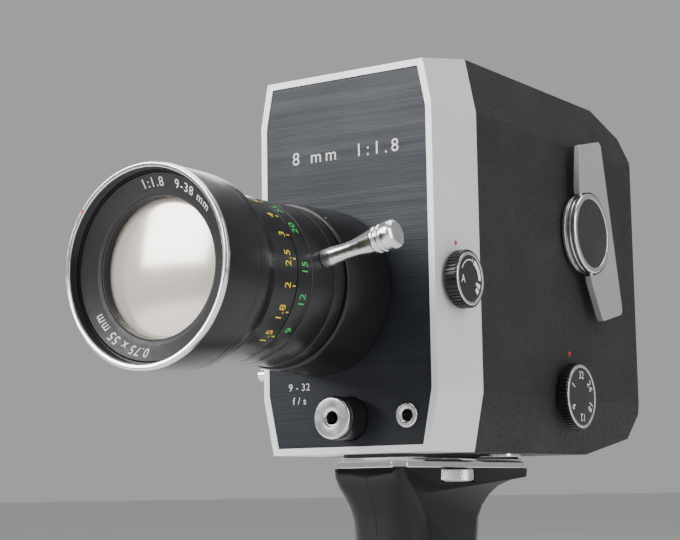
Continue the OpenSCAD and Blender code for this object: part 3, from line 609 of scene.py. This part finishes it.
EXPOSURE_TOP, SPEED_TOP = 37.3, 36.9
dial("exposure_dial", EXPOSURE, 9, EXPOSURE_TOP, 33.1, 0.6, 44, "exposure_selector")
dial("speed_dial", SPEED, 11.5, SPEED_TOP, 33.6, 0.2, 56, "speed_selector")
FIGURE_R = 7.2                  # radius of the circle of speed figures in mm
face = SPEED + OUT_X * (SPEED_TOP + FACE_LIFT) * MM
speeds = []
for i, words in enumerate(("32", "24", "18", "12", "9", "1")):
    turn = 60 * i
    spot = (FIGURE_R * math.sin(math.radians(turn)), FIGURE_R * math.cos(math.radians(turn)))
    speeds.append((*text_mesh(words, 2.5), on_plane(face, ACROSS, UP, spot, turn)))
printed("speed_figures", speeds, "speed_selector", "black_metal", "white")
face = EXPOSURE + OUT_X * (EXPOSURE_TOP + FACE_LIFT) * MM
# Arcs beside the A: inner and outer radius in mm, first and last angle, and steps.
ARCS = ((5.6, 5.9, -62, 8, 20), (5.2, 6.4, 12, 16, 3), (4.9, 6.5, 24, 92, 24), (3.6, 6.2, 104, 118, 6),
        (4.4, 6.2, 124, 140, 6))
arcs = [(*text_mesh("A", 2.4), on_plane(face, ACROSS, UP, (-4.4, -0.3)))]
arcs += [(*fan(*arc), on_plane(face, ACROSS, UP)) for arc in ARCS]
printed("exposure_marks", arcs, "exposure_selector", "black_metal", "white")
tri = [Vector((-1.1 * MM, 1.0 * MM, 0)), Vector((1.1 * MM, 1.0 * MM, 0)), Vector((0, -1.1 * MM, 0))]
speed_mark = Vector((SIDE_X, FACE_Y + 0.0885, FLOOR_Z + 0.0337))
exposure_mark = Vector((SIDE_X - 0.00033, FACE_Y + 0.0125, FLOOR_Z + 0.0637))
printed("speed_index", [(tri, [[0, 1, 2]], on_plane(speed_mark, ACROSS, UP))], "camera", "grain", "red", 0.05)
printed("exposure_index", [(*fan(0, 0.75, 0, 360, 20), on_plane(exposure_mark, ACROSS, UP))], "camera",
        "casting", "red", 0.05)

# ---------------------------------------------------------------- clamp wheel
TOP_Z, LOW_Z, WHEEL_R, CROSSES = 101.4, 97.2, 16.4, 84
BAND_LOW, BAND_H, BAND_STEPS = LOW_Z + 0.45, 3.3, 12
KNURL_DEPTH, KNURL_LEAN, KNURL_WIDTH = 0.34, 1.1, 2.88


def knurl(t, z):
    """Radius in mm at the fraction t of a turn and height z: two sets of crossing grooves."""
    a = (t * CROSSES + (z - LOW_Z) / KNURL_LEAN) % 1.0
    b = (t * CROSSES - (z - LOW_Z) / KNURL_LEAN) % 1.0
    depth = max(1 - KNURL_WIDTH * abs(a - 0.5), 1 - KNURL_WIDTH * abs(b - 0.5), 0)
    return WHEEL_R - KNURL_DEPTH * depth


bm = bmesh.new()
rows = []
steps = CROSSES * 8
levels = [(LOW_Z, 0.9), (LOW_Z + 0.35, 0.35)]
levels += [(BAND_LOW + BAND_H * i / BAND_STEPS, None) for i in range(BAND_STEPS + 1)]
levels += [(TOP_Z - 0.35, 0.35), (TOP_Z, 0.9)]
for z, cut in levels:
    row = []
    for i in range(steps):
        t = i / steps
        r = (knurl(t, z) if cut is None else WHEEL_R - cut) * MM
        row.append(bm.verts.new((r * math.cos(2 * math.pi * t), r * math.sin(2 * math.pi * t), z * MM)))
    rows.append(row)
for a, b in zip(rows, rows[1:]):
    for i in range(steps):
        bm.faces.new((a[i], a[(i + 1) % steps], b[(i + 1) % steps], b[i]))
bm.faces.new(rows[0])
bm.faces.new(rows[-1])
bmesh.ops.recalc_face_normals(bm, faces=bm.faces)
give(from_bmesh("clamp_wheel_knurled", bm, 20), "wheel", "chrome", "bright", "clamp_wheel")
ORIGIN = Vector((0, 0, 0))
SCREW_HEAD = [(0, 91.6), (5.5, 91.6), (5.5, 97.3), (0, 97.3)]
SCREW_SHANK = [(0, 101.3), (3, 101.3), (3, 113.5), (0, 113.5)]
lathe("clamp_screw", rounded(SCREW_HEAD, 0.2), ORIGIN, UP, "wheel", "chrome", "steel", None, 64)
lathe("clamp_screw_thread", SCREW_SHANK, ORIGIN, UP, "wheel", "chrome", "steel", None, 48)

# ---------------------------------------------------------------- the other CAD nodes, with rounded edges
DONE = {
    "front_casting", "front_plate", "body_shell", "film_door", "grip_plate", "grip_left", "grip_right",
    "lens_collar", "zoom_ring", "focus_ring", "front_rim", "inscription_ring", "front_lens", "zoom_lever",
    "release_button", "button_cap", "frame_release_socket", "key_hub", "key_disc", "key_wing",
    "exposure_dial", "exposure_dial_ring", "exposure_dial_face", "speed_dial", "speed_dial_ring",
    "speed_dial_face", "clamp_wheel",
}
for node in NODES:
    if node not in DONE:
        dress(node, 0.08 if SLOT_OF[node] != "glass" else 0.0, segments=2)

# ---------------------------------------------------------------- floor, light, camera
floor_mat = Nodes("floor")
floor_colour = floor_mat.ramp(floor_mat.noise(3.0, 4.0), 0.3, 0.7, (0.70, 0.70, 0.69), (0.74, 0.74, 0.73))
floor_mat.link(floor_colour, floor_mat.shader.inputs["Base Color"])
floor_mat.shader.inputs["Roughness"].default_value = 0.6
bpy.ops.mesh.primitive_plane_add(size=80, location=(0, 0, 0))
floor = bpy.context.object
floor.name = "floor"
floor.data.materials.append(floor_mat.mat)


def area(name, location, target, size, power, size_y=None, colour=(1, 1, 1)):
    light = bpy.data.lights.new(name, "AREA")
    light.energy = power
    light.color = colour
    light.shape = "RECTANGLE"
    light.size = size
    light.size_y = size_y or size
    obj = bpy.data.objects.new(name, light)
    bpy.context.scene.collection.objects.link(obj)
    obj.location = location
    obj.rotation_euler = (Vector(target) - Vector(location)).to_track_quat("-Z", "Y").to_euler()


CENTRE = (0, 0.0, 0.16)
area("key_light", (-0.55, -1.0, 0.75), CENTRE, 0.8, 22, 0.9)
area("side_light", (1.15, -0.25, 0.55), CENTRE, 0.35, 7, 1.0)
area("top_light", (0.1, 0.2, 1.3), CENTRE, 1.1, 12)
area("rear_light", (-0.7, 1.1, 0.7), CENTRE, 0.7, 8)
world = bpy.data.worlds.new("studio")
world.use_nodes = True
world.node_tree.nodes["Background"].inputs["Color"].default_value = (0.78, 0.79, 0.81, 1)
world.node_tree.nodes["Background"].inputs["Strength"].default_value = 0.5
bpy.context.scene.world = world

AZ, EL, ROLL = math.radians(33.54), math.radians(-7.51), math.radians(-0.94)
CAMERA_AT = (0.2883, -0.4823, 0.0937)
FOCAL_LENGTH = 90.05
back = Vector((math.sin(AZ) * math.cos(EL), -math.cos(AZ) * math.cos(EL), math.sin(EL)))
right0 = Vector((math.cos(AZ), math.sin(AZ), 0))
up0 = back.cross(right0)
right = right0 * math.cos(ROLL) + up0 * math.sin(ROLL)
up = up0 * math.cos(ROLL) - right0 * math.sin(ROLL)
cam_data = bpy.data.cameras.new("camera")
cam_data.sensor_width = 36
cam_data.lens = FOCAL_LENGTH
cam_data.clip_start = 0.01
cam = bpy.data.objects.new("camera", cam_data)
bpy.context.scene.collection.objects.link(cam)
turn = Matrix((right, up, back)).transposed().to_4x4()
cam.matrix_world = Matrix.Translation(CAMERA_AT) @ turn
bpy.context.scene.camera = cam
